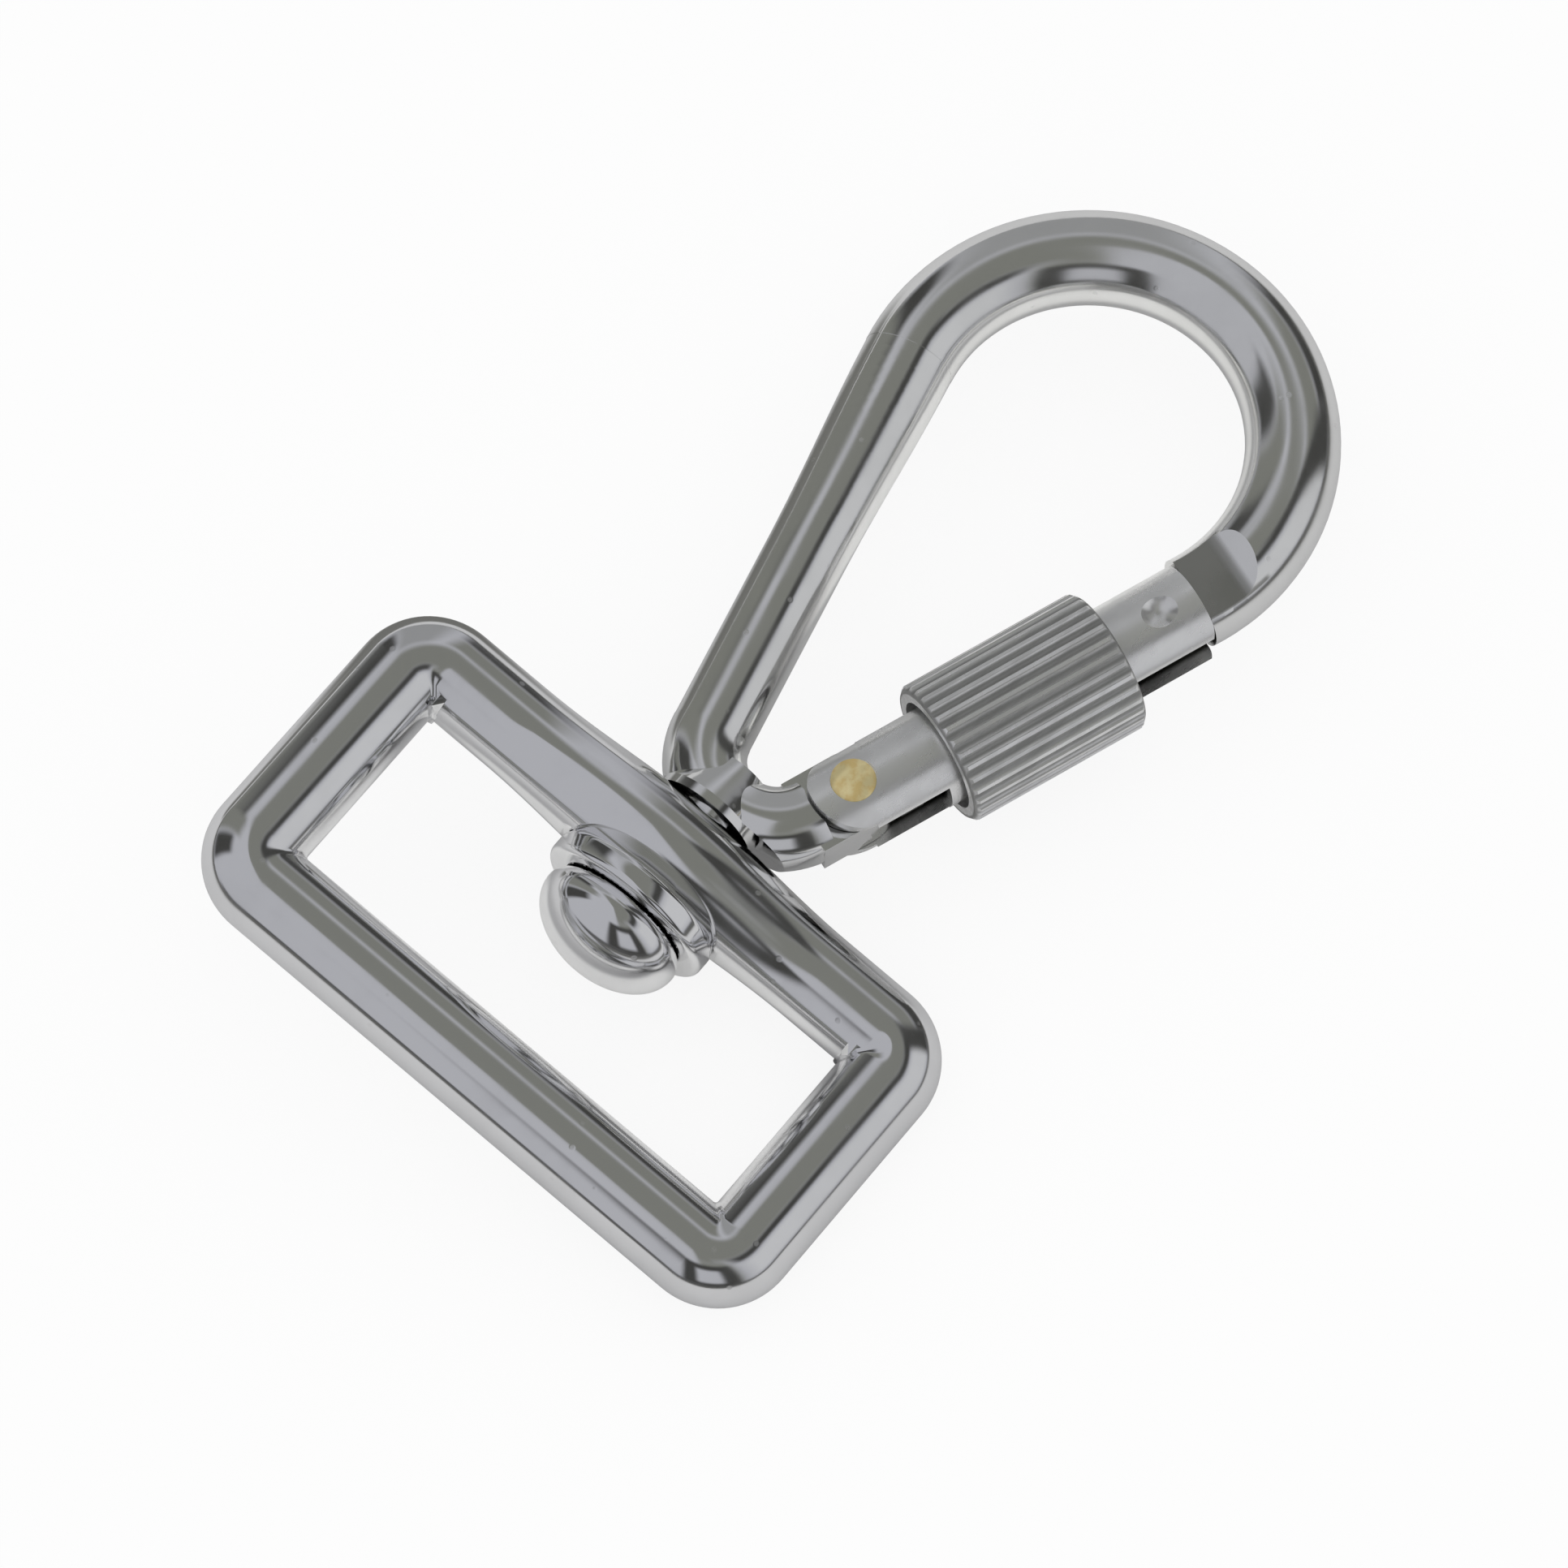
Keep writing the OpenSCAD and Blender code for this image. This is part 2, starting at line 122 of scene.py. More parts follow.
# %% A helper for node trees
class Finish:
    def __init__(self, name, owner=None):
        self.owner = owner or bpy.data.materials.new(name)
        self.owner.use_nodes = True
        self.tree = self.owner.node_tree
        self.shader = self.tree.nodes.get("Principled BSDF")

    def add(self, kind, settings=None, sockets=None, output=0):
        node = self.tree.nodes.new(kind)
        for name, value in (settings or {}).items():
            setattr(node, name, value)
        for name, value in (sockets or {}).items():
            if isinstance(value, Value):
                self.tree.links.new(value.out, node.inputs[name])
            else:
                node.inputs[name].default_value = value
        return Value(self.tree, node.outputs[output])

    def place(self):
        return self.add("ShaderNodeTexCoord", output="Object")

    def mapped(self, scale=(1, 1, 1), turn=0.0, shift=(0, 0, 0)):
        """The place on the object, scaled, then turned about Z by some degrees, then shifted."""
        return self.add("ShaderNodeMapping", sockets={
            "Vector": self.place(), "Scale": scale,
            "Rotation": (0, 0, math.radians(turn)), "Location": shift})

    def vector(self, operation, first, second):
        return self.add("ShaderNodeVectorMath", {"operation": operation}, {0: first, 1: second})

    def length(self, vector):
        return self.add("ShaderNodeVectorMath", {"operation": "LENGTH"}, {0: vector}, output="Value")

    def along(self, vector, axis):
        """One coordinate of a place or a direction."""
        return self.add("ShaderNodeSeparateXYZ", sockets={"Vector": vector}, output=axis)

    def noise(self, vector, scale, detail=3.0, rough=0.55):
        return self.add("ShaderNodeTexNoise", sockets={
            "Vector": vector, "Scale": scale, "Detail": detail, "Roughness": rough})

    def spread(self, value, low, high, to_low=0.0, to_high=1.0):
        """Carries a value from one range to another, gently, and stops at its ends."""
        return self.add("ShaderNodeMapRange", {"interpolation_type": "SMOOTHSTEP"}, {
            "Value": value, "From Min": low, "From Max": high,
            "To Min": to_low, "To Max": to_high})

    def mix(self, factor, first, second):
        """Goes from the first colour to the second as the factor runs from 0 to 1."""
        node = self.tree.nodes.new("ShaderNodeMix")
        node.data_type = "RGBA"
        for index, value in ((0, factor), (6, first), (7, second)):
            socket = node.inputs[index]
            if isinstance(value, Value):
                self.tree.links.new(value.out, socket)
            else:
                socket.default_value = (*value, 1.0) if isinstance(value, tuple) else value
        return Value(self.tree, node.outputs[2])

    def bump(self, height):
        """Relief whose height is given in millimetres."""
        return self.add("ShaderNodeBump", sockets={
            "Height": height, "Distance": MM, "Strength": 1.0})

    def set(self, **values):
        for name, value in values.items():
            socket = self.shader.inputs[name.replace("_", " ")]
            if isinstance(value, Value):
                self.tree.links.new(value.out, socket)
            else:
                socket.default_value = (*value, 1.0) if isinstance(value, tuple) else value


def dress(finish, *pieces):
    """Puts a finish on pieces, in place of the plain colour that CAD nodes come with."""
    for piece in pieces:
        piece.data.materials.clear()
        piece.data.materials.append(finish.owner)
    names = ", ".join(piece.name for piece in pieces)
    print(finish.owner.name, "with", len(finish.tree.nodes), "nodes on", names)


# %% [markdown]
# ## The strap loop
# The real loop is cast in one piece from round bar: its inner corners are almost sharp, and the
# outer ones are round, so the reflections sweep round them. The CAD solid mitres its bars at
# the corners. Here the loop is drawn as a smith would bend it: a ring of points, the section of
# the bar, is pulled along the straight bars and spun round the corners.

# %% Sizes of the loop in millimetres
BAR_R = 3.5
BAR_X, BAR_Y = 10.5, 22.5
CORNER_R = 2.6
INNER_R = 0.35
SWELL_R, SWELL_HEIGHT, SWELL_HALF = 4.1, 5.0, 14.0
SWIVEL_Y = -0.5
LOOP_ROLL = 11.0
SECTION_POINTS, CORNER_STEPS, LONG_STEPS = 72, 20, 70
run_x, run_y = BAR_X - CORNER_R, BAR_Y - CORNER_R
print("straight runs of the loop:", 2 * run_x, "and", 2 * run_y, "mm")

# %% [markdown]
# Three small helpers keep the drawing short. Operators act on all that is selected, so deselect()
# comes before each new piece. pull() and bend() move the open end of the bar on, as a smith does.

# %% Pull and bend
def deselect():
    bpy.ops.object.select_all(action="DESELECT")


def pull(x, y):
    """Extrudes the open end of the bar by a step in millimetres."""
    bpy.ops.mesh.extrude_region_move(TRANSFORM_OT_translate={"value": (x * MM, y * MM, 0)})


def bend(centre_x, centre_y):
    """Spins the open end of the bar a quarter turn, clockwise from above."""
    bpy.ops.mesh.spin(
        steps=CORNER_STEPS, angle=math.radians(90),
        center=(centre_x * MM, centre_y * MM, 0), axis=(0, 0, 1))


# %% [markdown]
# The bar goes once round the loop, from the middle of its left side: half a side, a corner, the
# short side, a corner and so on. The long side that will swell needs many rings, so it is pulled
# in small steps. Where the bar meets its own beginning, the doubled points are merged.

# %% Draw the bar round the loop
deselect()
bpy.ops.mesh.primitive_circle_add(
    vertices=SECTION_POINTS, radius=BAR_R * MM, location=(-BAR_X * MM, 0, 0),
    rotation=(math.radians(90), 0, 0))
loop = bpy.context.object
loop.name = "loop_bar"
bpy.ops.object.transform_apply()
bpy.ops.object.mode_set(mode="EDIT")
bpy.ops.mesh.select_all(action="SELECT")
pull(0, run_y)
bend(-run_x, run_y)
pull(2 * run_x, 0)
bend(run_x, run_y)
for step in range(LONG_STEPS):
    pull(0, -2 * run_y / LONG_STEPS)
bend(run_x, -run_y)
pull(-2 * run_x, 0)
bend(-run_x, -run_y)
pull(0, run_y)
bpy.ops.mesh.select_all(action="SELECT")
bpy.ops.mesh.remove_doubles(threshold=0.0001 * MM)
bpy.ops.object.mode_set(mode="OBJECT")
print("loop of", len(loop.data.vertices), "points")

# %% [markdown]
# The corner is tighter than the bar is thick, so the inner side of the spun bar folds through
# the middle of the turn. Each folded point is put back on a small arc of its own, which leaves
# the sharp inner corner of the real loop. Then the rings of the long bar are widened towards
# their middle, for the swelling that carries the swivel. It is higher than it is wide, which
# is what makes the reflections cross the bar in an S.

# %% Open the folds and swell the long bar
FOLD = BAR_R - CORNER_R + 0.1
TINY = 1e-4


def unfold(x, y):
    """Place of a corner's point, once its turn is no tighter than the inner radius."""
    side_x, side_y = math.copysign(1, x), math.copysign(1, y)
    a, b = x * side_x - run_x, y * side_y - run_y
    if a > -TINY and b > -TINY:
        turn, angle = math.hypot(a, b), math.atan2(b, a)
    elif -FOLD < a < TINY and -FOLD < b < TINY:
        turn, angle = -math.hypot(a, b), math.atan2(-b, -a)
    else:
        return x, y
    if turn >= INNER_R:
        return x, y
    shift = turn - INNER_R
    return (side_x * (run_x + shift + INNER_R * math.cos(angle)),
            side_y * (run_y + shift + INNER_R * math.sin(angle)))


for vertex in loop.data.vertices:
    x, y, z = vertex.co / MM
    x, y = unfold(x, y)
    if x > 0 and abs(y) < SWELL_HALF:
        ease = (1 + math.cos(math.pi * y / SWELL_HALF)) / 2
        x = BAR_X + (x - BAR_X) * (1 + (SWELL_R / BAR_R - 1) * ease)
        z = z * (1 + (SWELL_HEIGHT / BAR_R - 1) * ease)
    vertex.co = Vector((x, y, z)) * MM
print("swelling", 2 * SWELL_R, "mm wide and", 2 * SWELL_HEIGHT, "mm high")

# %% [markdown]
# The loop lies turned about the swivel. Its seats for the washer and the neck and the bore for
# the stud stand square to the swivel, so they are cut after that turn, as a drill would do it:
# with a cylinder that a Boolean modifier takes away.

# %% A drill along the swivel
SMOOTH_BELOW = math.radians(30)
DRILL_SIDES = 96
BORE_R = 2.56


def activate(piece):
    deselect()
    piece.select_set(True)
    bpy.context.view_layer.objects.active = piece


def cylinder_along_x(x, length, radius):
    deselect()
    bpy.ops.mesh.primitive_cylinder_add(
        vertices=DRILL_SIDES, radius=radius * MM, depth=length * MM,
        location=((x + length / 2) * MM, SWIVEL_Y * MM, 0), rotation=(0, math.radians(90), 0))
    return bpy.context.object


def cut(piece, tool):
    """Takes the tool away from the piece and deletes the tool."""
    modifier = piece.modifiers.new("cut", "BOOLEAN")
    modifier.operation = "DIFFERENCE"
    modifier.object = tool
    bpy.context.view_layer.objects.active = piece
    bpy.ops.object.modifier_apply(modifier=modifier.name)
    bpy.data.objects.remove(tool)


# %% [markdown]
# A spun mesh can come out inside out, so its normals are recalculated before the cuts. The long
# side carries three cuts: a flat for the washer inside the slot, a flat for the hook's neck on
# the far side, and the bore between them in which the stud turns.

# %% Turn the loop, cut the seats and the bore
WASHER_SEAT, NECK_SEAT, STUD_BORE = (4.9, 2.0, 7.15), (14.1, 2.0, 4.5), (5.0, 12.0, BORE_R)
pivot = Matrix.Translation((0, SWIVEL_Y * MM, 0))
loop.data.transform(pivot @ Matrix.Rotation(math.radians(LOOP_ROLL), 4, "X") @ pivot.inverted())
activate(loop)
bpy.ops.object.mode_set(mode="EDIT")
bpy.ops.mesh.select_all(action="SELECT")
bpy.ops.mesh.normals_make_consistent(inside=False)
bpy.ops.object.mode_set(mode="OBJECT")
for start_x, length, radius in (WASHER_SEAT, NECK_SEAT, STUD_BORE):
    cut(loop, cylinder_along_x(start_x, length, radius))
activate(loop)
bpy.ops.object.shade_smooth_by_angle(angle=SMOOTH_BELOW)
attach(loop, "loop")
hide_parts("strap_loop")
print("loop cut:", len(loop.data.polygons), "faces")

# %% [markdown]
# ## The washer
# The washer is a stamped disc, tumbled until its edges are round but its rim still has a
# straight part in the middle. A cylinder is pierced and its edges are rounded by a bevel.

# %% Stamp and tumble the washer
WASHER_D, WASHER_T, WASHER_X = 13.7, 2.0, 4.9
TUMBLED_R = 0.55
washer = cylinder_along_x(WASHER_X, WASHER_T, WASHER_D / 2)
washer.name = "washer_disc"
bpy.ops.object.transform_apply()
cut(washer, cylinder_along_x(WASHER_X - 1, WASHER_T + 2, BORE_R))
edges = washer.modifiers.new("tumbled", "BEVEL")
edges.width = TUMBLED_R * MM
edges.segments = 8
edges.limit_method = "ANGLE"
edges.angle_limit = math.radians(60)
activate(washer)
bpy.ops.object.modifier_apply(modifier=edges.name)
bpy.ops.object.shade_smooth_by_angle(angle=SMOOTH_BELOW)
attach(washer, "loop")
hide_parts("swivel_washer")
print("washer:", len(washer.data.polygons), "faces")

# %% [markdown]
# ## The swivel stud
# The stud's head is a turned and polished dome, so it has to be smooth: the eye finds every
# facet in a mirror. The CAD solid builds it from narrow cones. Here a fine sphere is flattened
# to the dome on one side and to the shallower band on the other, cut flat where the head meets
# the washer, and the shank and the tenon are added.

# %% Turn the stud
HEAD_R, DOME_H, BAND_H, BAND_CURVE = 5.75, 3.8, 1.1, 2.585
SHANK_R, TENON_R, TENON_ROOT = 2.5, 1.7, 0.1
RING_X, SHANK_END_X, TENON_END_X = 3.65, 14.25, 18.0
deselect()
bpy.ops.mesh.primitive_uv_sphere_add(
    segments=128, ring_count=96, radius=1.0, rotation=(0, math.radians(90), 0))
stud = bpy.context.object
stud.name = "stud_turned"
bpy.ops.object.transform_apply()
for vertex in stud.data.vertices:
    x, y, z = vertex.co
    x *= DOME_H if x < 0 else BAND_CURVE
    vertex.co = Vector((RING_X + x, SWIVEL_Y + HEAD_R * y, HEAD_R * z)) * MM
bpy.ops.object.mode_set(mode="EDIT")
bpy.ops.mesh.select_all(action="SELECT")
bpy.ops.mesh.bisect(
    plane_co=((RING_X + BAND_H) * MM, 0, 0), plane_no=(1, 0, 0), use_fill=True, clear_outer=True)
bpy.ops.object.mode_set(mode="OBJECT")
shank = cylinder_along_x(RING_X, SHANK_END_X - RING_X, SHANK_R)
tenon_x = SHANK_END_X - TENON_ROOT
tenon = cylinder_along_x(tenon_x, TENON_END_X - tenon_x, TENON_R)
deselect()
for part in (shank, tenon, stud):
    part.select_set(True)
bpy.context.view_layer.objects.active = stud
bpy.ops.object.join()
bpy.ops.object.transform_apply()
bpy.ops.object.shade_smooth_by_angle(angle=SMOOTH_BELOW)
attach(stud, "hook")
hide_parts("swivel_stud")
print("stud:", len(stud.data.polygons), "faces")

# %% [markdown]
# ## The gate's spring
# A coil spring is wound from round wire, with its end turns closed. A CAD solid can't be pressed
# together, so the spring is wound once more here: a ring of points, the section of the wire, goes
# through a Screw modifier, and the turns at both ends are moved close to their neighbours.

# %% Room for the spring
WIRE_R, COIL_R, COIL_TURNS = 0.3, 2.05, 11
WIRE_POINTS, TURN_STEPS = 12, 24
END_PITCH = 1.12 * 2 * WIRE_R
GATE_LEAN, GATE_LINE_Y = 20.0, -0.026
gate_turn = Matrix.Rotation(math.radians(-GATE_LEAN), 4, "Z")
along_gate = Vector((math.cos(math.radians(GATE_LEAN)), -math.sin(math.radians(GATE_LEAN)), 0))
places = [vertex.co.dot(along_gate) / MM for vertex in nodes["gate_spring"].data.vertices]
coil_start, coil_end = min(places), max(places)
wound = coil_end - coil_start - 2 * WIRE_R
pitch = (wound - 2 * END_PITCH) / (COIL_TURNS - 2)
print("room from", round(coil_start, 2), "to", round(coil_end, 2), "mm along the gate")
print("pitch of the open turns:", round(pitch, 2), "mm")

# %% [markdown]
# The Screw modifier winds the ring at one pitch along X. Its points come out ring by ring, so a
# point's number tells on which turn it lies, and the end turns can be drawn in. The open ends of
# the wire are filled, and the coil is turned to lie along the gate.

# %% Wind the spring
deselect()
bpy.ops.mesh.primitive_circle_add(
    vertices=WIRE_POINTS, radius=WIRE_R * MM, location=(0, COIL_R * MM, 0))
coil = bpy.context.object
coil.name = "wound_spring"
bpy.ops.object.transform_apply()
winding = coil.modifiers.new("winding", "SCREW")
winding.axis = "X"
winding.screw_offset = pitch * MM
winding.iterations = COIL_TURNS
winding.steps = winding.render_steps = TURN_STEPS
bpy.ops.object.modifier_apply(modifier=winding.name)
for index, vertex in enumerate(coil.data.vertices):
    turns = (index // WIRE_POINTS) / TURN_STEPS
    closed_in = min(turns, 1) + max(turns - COIL_TURNS + 1, 0)
    vertex.co.x += (coil_start + WIRE_R - closed_in * (pitch - END_PITCH)) * MM
    vertex.co.y += GATE_LINE_Y * MM
bpy.ops.object.mode_set(mode="EDIT")
bpy.ops.mesh.select_all(action="SELECT")
bpy.ops.mesh.fill_holes(sides=0)
bpy.ops.mesh.normals_make_consistent(inside=False)
bpy.ops.object.mode_set(mode="OBJECT")
coil.data.transform(gate_turn)
bpy.ops.object.shade_smooth_by_angle(angle=2 * SMOOTH_BELOW)
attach(coil, "gate")
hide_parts("gate_spring")
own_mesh(coil)
print("spring:", len(coil.data.polygons), "faces")

# %% [markdown]
# ## Bright plating
# The loop, the hook, the stud and the washer are forged or turned, polished on a soft wheel and
# plated, so nearly all that is seen on them is the table and the tent round them. A perfect
# mirror would look drawn: the wheel leaves the surface a little wavy, and handling leaves faint
# smears, so a slow noise feeds a very shallow bump and a second one the roughness. A pattern of
# cells makes the pores that plating leaves here and there. The nose of the hook has two flats
# that are pressed after the polish, so they are dull: rougher than the rest. A mask finds them by
# their place and height. It feeds the roughness, and it darkens their colour as a painted dark
# reflection.

# %% Mask of the pressed flats
NOSE_PLACE = (0.0506, -0.0181, 0.0)
NOSE_REACH = 5.0
FLAT_HEIGHT = 2.44
# Colour of the pressed flats, much darker than the plating: a painted dark reflection.
PAINTED_DARK_REFLECTION = (0.40, 0.40, 0.38)


def pressed(finish):
    """Mask of the two flats that are pressed into the nose, above and below."""
    reach = finish.length(finish.vector("SUBTRACT", finish.place(), NOSE_PLACE))
    height = finish.along(finish.place(), "Z").math("ABSOLUTE")
    near = finish.spread(reach, (NOSE_REACH - 0.4) * MM, NOSE_REACH * MM, 1.0, 0.0)
    from_below = finish.spread(height, (FLAT_HEIGHT - 0.2) * MM, (FLAT_HEIGHT - 0.08) * MM)
    to_above = finish.spread(height, FLAT_HEIGHT * MM, (FLAT_HEIGHT + 0.2) * MM, 1.0, 0.0)
    return near * from_below * to_above


# %% [markdown]
# The same finish serves all the plated pieces, each with its own colour, roughness and waves,
# because a big cast loop is less even than a small turned stud. Only the hook has the flats.

# %% Plated metal
def bright_plate(name, colour, roughness=0.07, wave=0.010, wave_size=6.0, flats=False):
    """Polished plating; wave is the height in mm of the slow waves that the wheel leaves."""
    finish = Finish(name)
    slow = finish.noise(finish.mapped(), 1000 / wave_size, detail=1.0)
    smear = finish.noise(finish.mapped(shift=(0.5, 0.2, 0.1)), 1000 / 9.0, detail=4.0, rough=0.65)
    pores = finish.add("ShaderNodeTexVoronoi", sockets={
        "Vector": finish.place(), "Scale": 1000 / 2.6, "Randomness": 1.0})
    pore = finish.spread(pores, 0.05, 0.11, 1.0, 0.0)
    thin = finish.spread(smear, 0.40, 0.66)
    darker = tuple(part * 0.93 for part in colour)
    skin = finish.mix(thin * 0.7 + pore * 0.3, colour, darker)
    rough = thin * 0.07 + pore * 0.15 + roughness
    if flats:
        dull_and_painted_dark = pressed(finish)
        # On the flats the colour is darkened as a painted dark reflection, and the roughness goes
        # up.
        skin = finish.mix(dull_and_painted_dark, skin, PAINTED_DARK_REFLECTION)
        rough = rough + dull_and_painted_dark * 0.14
    finish.set(
        Base_Color=skin, Metallic=1.0, Roughness=rough,
        Normal=finish.bump(slow * wave - pore * 0.004))
    return finish


dress(bright_plate("plated_loop", (0.90, 0.90, 0.905), wave=0.016, wave_size=7.0), loop)
dress(bright_plate("plated_stud", (0.91, 0.91, 0.915)), stud, washer)
plated_hook = bright_plate("plated_hook", (0.90, 0.90, 0.89), roughness=0.09, wave=0.014, flats=True)
dress(plated_hook, nodes["hook_body"])

# %% [markdown]
# ## The gate: drawn tube
# The gate is cut from drawn tube. Its polish is thinner, and fine lines run along it, so a
# noise is stretched along X, roughly the way the gate points, before it is read. The outside of
# a tube and its bore are told apart by the distance from its middle line. A Mapping node turns
# the place on the object until the gate runs along X, and then that distance is the root of two
# squares.

# %% Distance from the gate's line
def from_gate_line(finish):
    straight = finish.mapped(turn=GATE_LEAN)
    across, height = (finish.along(straight, axis) for axis in "YZ")
    return (across * across + height * height).math("SQRT")


# %% [markdown]
# The bore is painted near black, as painted shade inside the tube. The skin isn't quite bare metal:
# its thin haze takes some of the soft light, so the metallic share is a little under 1.

# %% Drawn grain on the gate
BORE_WALL, OUTER_WALL = 2.85, 3.2
# Painted shade: the colour of the bore stands in for the shadow inside the tube.
PAINTED_BORE_SHADE = (0.06, 0.06, 0.05)


def drawn_tube(name, colour, roughness):
    finish = Finish(name)
    along = finish.mapped(scale=(0.05, 1, 1), turn=GATE_LEAN)
    grain = finish.noise(along, 1000 / 0.35, detail=3.0)
    blotch = finish.noise(finish.mapped(), 1000 / 3.5, detail=3.0)
    cloudy = finish.spread(blotch, 0.35, 0.7)
    darker = tuple(part * 0.88 for part in colour)
    # Mask of the bore, which gets the painted shade.
    inside = finish.spread(from_gate_line(finish), BORE_WALL * MM, OUTER_WALL * MM, 1.0, 0.0)
    plated = finish.mix(cloudy * 0.6 + grain * 0.3, colour, darker)
    finish.set(
        Base_Color=finish.mix(inside, plated, PAINTED_BORE_SHADE),
        Metallic=0.93,
        Roughness=grain * 0.10 + cloudy * 0.08 + roughness,
        Normal=finish.bump(grain * 0.003 + blotch * 0.02))
    return finish


dress(drawn_tube("drawn_gate", (0.97, 0.97, 0.96), 0.20), nodes["gate"])

# %% [markdown]
# ## The locking sleeve
# The sleeve's grooves are rolled in and plated without polishing, so it is duller than the rest,
# with traces of the roll along the grooves. The colour is also darker in the grooves, so it
# follows the distance from the sleeve's middle line, which is the gate's.

# %% Grooved sleeve
MOUTH_EDGE, GROOVE_START = 4.9, 5.05
GROOVE_FLOOR, RIB_TOP = 5.22, 5.40
# The colour is darker in the grooves, by this colour and share.
GROOVE_DARK_COLOUR = (0.10, 0.10, 0.09)
GROOVE_DARK_SHARE = 0.6


def rolled_sleeve(name, colour, roughness):
    finish = Finish(name)
    streak = finish.noise(finish.mapped(scale=(0.12, 1, 1), turn=GATE_LEAN), 1000 / 0.8, detail=4.0)
    specks = finish.noise(finish.mapped(), 1000 / 0.5, detail=2.0)
    worn = finish.spread(streak, 0.38, 0.68)
    darker = tuple(part * 0.78 for part in colour)
    radius = from_gate_line(finish)
    groove = (finish.spread(radius, MOUTH_EDGE * MM, GROOVE_START * MM)
              * finish.spread(radius, GROOVE_FLOOR * MM, RIB_TOP * MM, 1.0, 0.0))
    ribs = finish.mix(worn * 0.6 + specks * 0.2, colour, darker)
    finish.set(
        # Darker colour in the grooves.
        Base_Color=finish.mix(groove * GROOVE_DARK_SHARE, ribs, GROOVE_DARK_COLOUR),
        Metallic=0.92,
        Roughness=worn * 0.10 + specks * 0.08 + groove * 0.15 + roughness,
        Normal=finish.bump(specks * 0.010 + streak * 0.012))
    return finish


dress(rolled_sleeve("rolled_sleeve", (0.95, 0.95, 0.94), 0.24), nodes["lock_sleeve"])

# %% [markdown]
# ## The brass rivet
# The pin's heads were closed with a hammer, so they are facetted and uneven, and dull brass is
# far less of a mirror than the plating. A cell pattern gives the hammer marks, and a finer noise
# the darker grime that lies between them.

# %% Hammered brass
def hammered_brass(name):
    finish = Finish(name)
    marks = finish.add("ShaderNodeTexVoronoi", {"feature": "SMOOTH_F1"}, {
        "Vector": finish.place(), "Scale": 1000 / 1.1, "Smoothness": 0.6})
    grime = finish.noise(finish.place(), 1000 / 0.9, detail=4.0)
    dark = finish.spread(grime, 0.40, 0.66)
    finish.set(
        Base_Color=finish.mix(dark, (1.0, 0.86, 0.47), (0.88, 0.68, 0.30)),
        Metallic=0.75,
        Roughness=dark * 0.14 + 0.34,
        Normal=finish.bump(marks * 0.16 + grime * 0.05))
    return finish


dress(hammered_brass("hammered_brass"), nodes["gate_pin"])

# %% [markdown]
# ## Spring steel
# The spring and its plunger sit deep in the gate. They are painted near black as painted shade, so
# the slots in the gate look black from outside. A slow noise varies that black and the roughness
# here and there.

# %% Steel painted near black as shade
def painted_shade_steel(name):
    finish = Finish(name)
    patchy_black = finish.noise(finish.place(), 1000 / 0.8, detail=3.0)
    finish.set(
        # Near-black colour: painted shade for the slots of the gate.
        Base_Color=finish.mix(patchy_black, (0.055, 0.055, 0.052), (0.025, 0.025, 0.022)),
        Metallic=1.0,
        Roughness=patchy_black * 0.2 + 0.3,
        Normal=finish.bump(patchy_black * 0.01))
    return finish


dress(painted_shade_steel("painted_shade_steel"), coil, nodes["spring_plunger"])

# %% [markdown]
# ## The photo table
# The object lies on white paper. The camera sees the paper almost white, with a trace of the
# shadow left in it. The metal sees the same table in more detail: pale paper that ends a hand's
# breadth away on three sides, which draws the dark lines along the outer sides of the bars, two
# patches of painted shade towards +Y beside the spine, and two painted pools of light on the paper,
# inside the slot and inside the hook, which light the inner edges. Is Glossy Ray tells the metal's
# view from the rest.

# %% What the metal sees of the table
PAPER_NEAR, PAPER_FAR = 0.07, 0.16
PAPER_ENDS = ((0.64, -0.77, 0.0), (-0.78, -0.63, 0.0), (-0.94, 0.34, 0.0))
PAPER, TABLE = (0.58, 0.58, 0.585), (0.12, 0.12, 0.115)
# Painted shade and painted light on the paper, used by the spots below.
PAINTED_SHADE, PAINTED_LIGHT = (0.17, 0.17, 0.16), (0.98, 0.98, 0.97)
SPOT_EDGE = (0.75, 1.15)
PAINTED_LIGHT_AND_SHADE_SPOTS = (
    ((0.036, 0.050, 0.0), (0.028, 0.034, 1.0), PAINTED_SHADE),
    ((0.040, 0.160, 0.0), (0.045, 0.110, 1.0), PAINTED_SHADE),
    ((0.0, 0.0, 0.0), (0.008, 0.020, 1.0), PAINTED_LIGHT),
    ((0.050, -0.004, 0.0), (0.013, 0.012, 1.0), PAINTED_LIGHT))


def table_shade(finish):
    """Colour of the table at each place, as the metal sees it, with spots of painted shade and
    painted light.
    """
    ends = [
        finish.add("ShaderNodeVectorMath", {"operation": "DOT_PRODUCT"},
                   {0: finish.place(), 1: side}, output="Value")
        for side in PAPER_ENDS]
    reach = ends[0].math("MAXIMUM", ends[1]).math("MAXIMUM", ends[2])
    shade = finish.mix(finish.spread(reach, PAPER_NEAR, PAPER_FAR), PAPER, TABLE)
    # Each spot paints shade or a pool of light onto the paper.
    for middle, size, painted_spot in PAINTED_LIGHT_AND_SHADE_SPOTS:
        offset = finish.vector("SUBTRACT", finish.place(), middle)
        share = finish.length(finish.vector("DIVIDE", offset, size))
        shade = finish.mix(finish.spread(share, *SPOT_EDGE, 1.0, 0.0), shade, painted_spot)
    return shade


# %% [markdown]
# For the camera, most of the paper's light is its own, by an Emission that is mixed in with Is
# Camera Ray. A little of the lit surface stays in the mix and keeps the object's shadow.

# %% White paper
CAMERA_WHITE = 0.88
PAPER_GREY = (0.86, 0.86, 0.86)


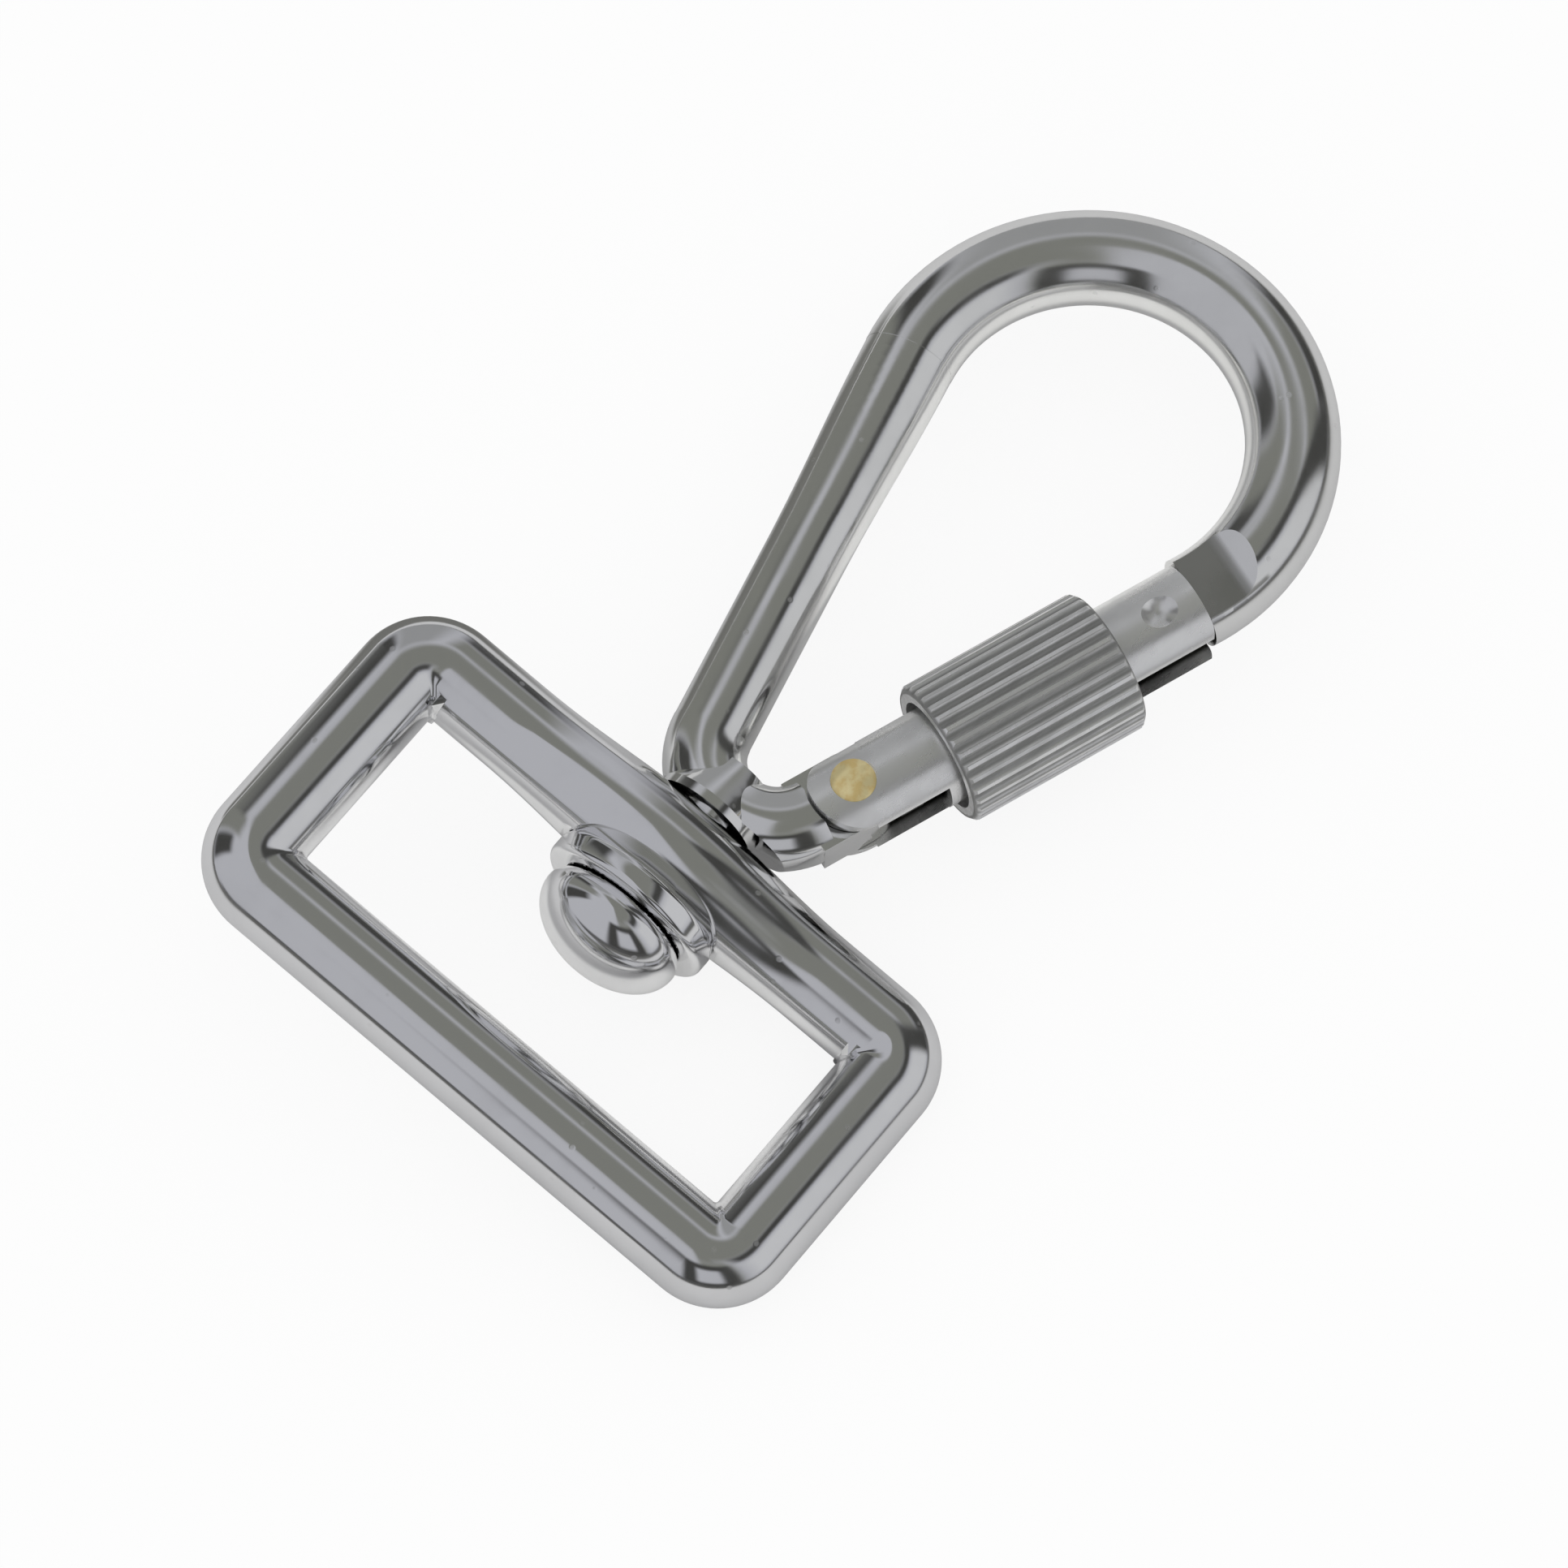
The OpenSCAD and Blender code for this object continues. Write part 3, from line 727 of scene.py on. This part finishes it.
def white_paper(name):
    finish = Finish(name)
    camera_ray, glossy_ray = (
        finish.add("ShaderNodeLightPath", output=ray) for ray in ("Is Camera Ray", "Is Glossy Ray"))
    emission = finish.add("ShaderNodeEmission", sockets={"Strength": 1.0})
    blend = finish.add("ShaderNodeMixShader", sockets={"Fac": camera_ray * CAMERA_WHITE})
    mixer = blend.out.node
    finish.tree.links.new(finish.shader.outputs[0], mixer.inputs[1])
    finish.tree.links.new(emission.out, mixer.inputs[2])
    finish.tree.links.new(blend.out, finish.tree.nodes["Material Output"].inputs["Surface"])
    finish.set(
        Base_Color=finish.mix(glossy_ray, PAPER_GREY, table_shade(finish)),
        Roughness=1.0, Specular_IOR_Level=0.0)
    return finish


# %% [markdown]
# The table top is one plane, just under the lowest point of the object. It is stage, so it is
# marked as backdrop and left out of the object's box.

# %% Table top
deselect()
bpy.ops.mesh.primitive_plane_add(size=4.0, location=(0, 0, cad_low.z))
floor = bpy.context.object
floor.name = "table_top"
floor.data.materials.append(white_paper("white_paper").owner)
floor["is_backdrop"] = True
print("floor at z =", round(cad_low.z / MM, 2), "mm")

# %% [markdown]
# ## The light tent
# A mirror finish shows its room, so the room is the real finish here. Round the table stands a
# tent of pale cloth with a few gaps between its panels, a darker frame overhead, and a dark shape
# where the camera stands, as on the photo table. The world draws it by direction: azimuth runs
# round the table from +X, elevation up from the table, both in degrees. Tilting a point of the
# metal by half an angle turns what it mirrors by the whole of it, so a narrow gap in the tent is
# a fine dark line on a round bar.

# %% Directions round the table
LILAC = (0.435, 0.440, 0.470)
PALE = (0.540, 0.545, 0.560)
GREY = (0.285, 0.290, 0.295)
OLIVE = (0.193, 0.197, 0.180)
DARK = (0.050, 0.050, 0.048)

world = bpy.data.worlds.new("light_tent")
bpy.context.scene.world = world
tent = Finish("light_tent", world)
heading = tent.add("ShaderNodeTexCoord", output="Generated")
east, north, high = (tent.along(heading, axis) for axis in "XYZ")
azimuth = north.math("ARCTAN2", east) * math.degrees(1)
elevation_angle = high.math("ARCSINE") * math.degrees(1)


def around(middle, half, soft):
    """Mask of a sector of azimuth, in degrees."""
    off = (azimuth - middle).math("WRAP", 180.0, -180.0).math("ABSOLUTE")
    return tent.spread(off, half - soft, half + soft, 1.0, 0.0)


def between(low, high_end, soft):
    """Mask of a belt of elevation, in degrees."""
    rise = tent.spread(elevation_angle, low - soft, low + soft)
    fall = tent.spread(elevation_angle, high_end - soft, high_end + soft, 1.0, 0.0)
    return rise * fall


# %% [markdown]
# Each panel is a colour and a mask: a sector of azimuth times a belt of elevation, with soft
# edges. They are laid over pale lilac cloth one after the other, so a later one covers an
# earlier one, like cards that are hung into the tent.

# %% Panels and gaps
cloth = LILAC
panels = (
    (OLIVE, around(290, 75, 14) * between(60, 100, 8)),
    (OLIVE, around(84, 12, 5) * between(-30, 60, 10)),
    (PALE, around(300, 36, 10) * between(6, 44, 5)),
    (DARK, around(300, 40, 10) * between(50, 62, 4)),
    (OLIVE, around(352, 17, 7) * between(22, 52, 6)),
    (DARK, around(352, 17, 7) * between(-6, 20, 6)),
    (GREY, around(40, 19, 8) * between(-10, 54, 8)),
    (DARK, around(68, 7, 4) * between(6, 42, 8)),
    (DARK, around(110, 11, 4) * between(0, 48, 8)),
    (OLIVE, around(232, 20, 8) * between(0, 60, 10)),
    (DARK, around(219, 30, 4) * between(2, 50, 4)),
    (LILAC, around(219, 14, 4) * between(10, 40, 4)),
    (DARK, around(330, 9, 4) * between(0, 62, 6)),
    (OLIVE, around(15, 42, 10) * between(60, 100, 7)),
    (OLIVE, around(226, 12, 5) * between(57, 100, 7)),
    (DARK, around(310, 60, 12) * between(-20, 2, 2) * 0.8),
    (DARK, around(200, 55, 8) * between(-20, 4, 2) * 0.9),
)
for shade, mask in panels:
    cloth = tent.mix(mask, cloth, shade)
print("tent with", len(panels), "panels and gaps")

# %% [markdown]
# Only the metal sees the tent. To the camera and to soft light the world is plain white at a
# strength of 1, so that every colour renders about as it is written.

# %% World
WHITE = (1.0, 1.0, 1.0)
glossy = tent.add("ShaderNodeLightPath", output="Is Glossy Ray")
seen = tent.mix(glossy, WHITE, cloth)
background = world.node_tree.nodes["Background"]
world.node_tree.links.new(seen.out, background.inputs["Color"])
background.inputs["Strength"].default_value = 1.0
print("world with", len(tent.tree.nodes), "nodes")

# %% [markdown]
# ## Camera
# The camera looks steeply down on the object from a good way off. Its place and lens were found
# by matching the outlines of the loop and the hook.

# %% Camera
SENSOR = 36
FOCAL_PIXELS = 10413
PHOTO_PIXELS = 1932
SIDEWAYS, UPWARD, AWAY = 15.02, 12.52, 600
elevation, turn = math.radians(68), math.radians(51.2)
right = Vector((math.cos(turn), -math.sin(turn), 0))
level = Vector((math.sin(turn), math.cos(turn), 0))
up = math.sin(elevation) * level + Vector((0, 0, math.cos(elevation)))
back = right.cross(up)
centre = (SIDEWAYS * right + UPWARD * up + AWAY * back) * MM
camera_data = bpy.data.cameras.new("camera")
camera_data.sensor_width = SENSOR
camera_data.lens = SENSOR * FOCAL_PIXELS / PHOTO_PIXELS
camera_data.clip_start = 0.05
camera_data.clip_end = 20
camera = bpy.data.objects.new("camera", camera_data)
bpy.context.scene.collection.objects.link(camera)
camera.matrix_world = Matrix((right, up, back)).transposed().to_4x4()
camera.location = centre
bpy.context.scene.camera = camera
bpy.context.scene.view_settings.view_transform = "Standard"
print("camera at", [round(value, 4) for value in centre], "lens", round(camera_data.lens, 1))

# %% [markdown]
# ## Sizes before and after
# The object's box was printed as it was loaded. Here the box is measured again, and how much it
# has grown since then is printed.

# %% Print how much the box has grown
new_low, new_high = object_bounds()
growth = [(new - old) / MM for new, old in zip((*new_low, *new_high), (*cad_low, *cad_high))]
print("grown by, in mm:", [round(value, 3) for value in growth])
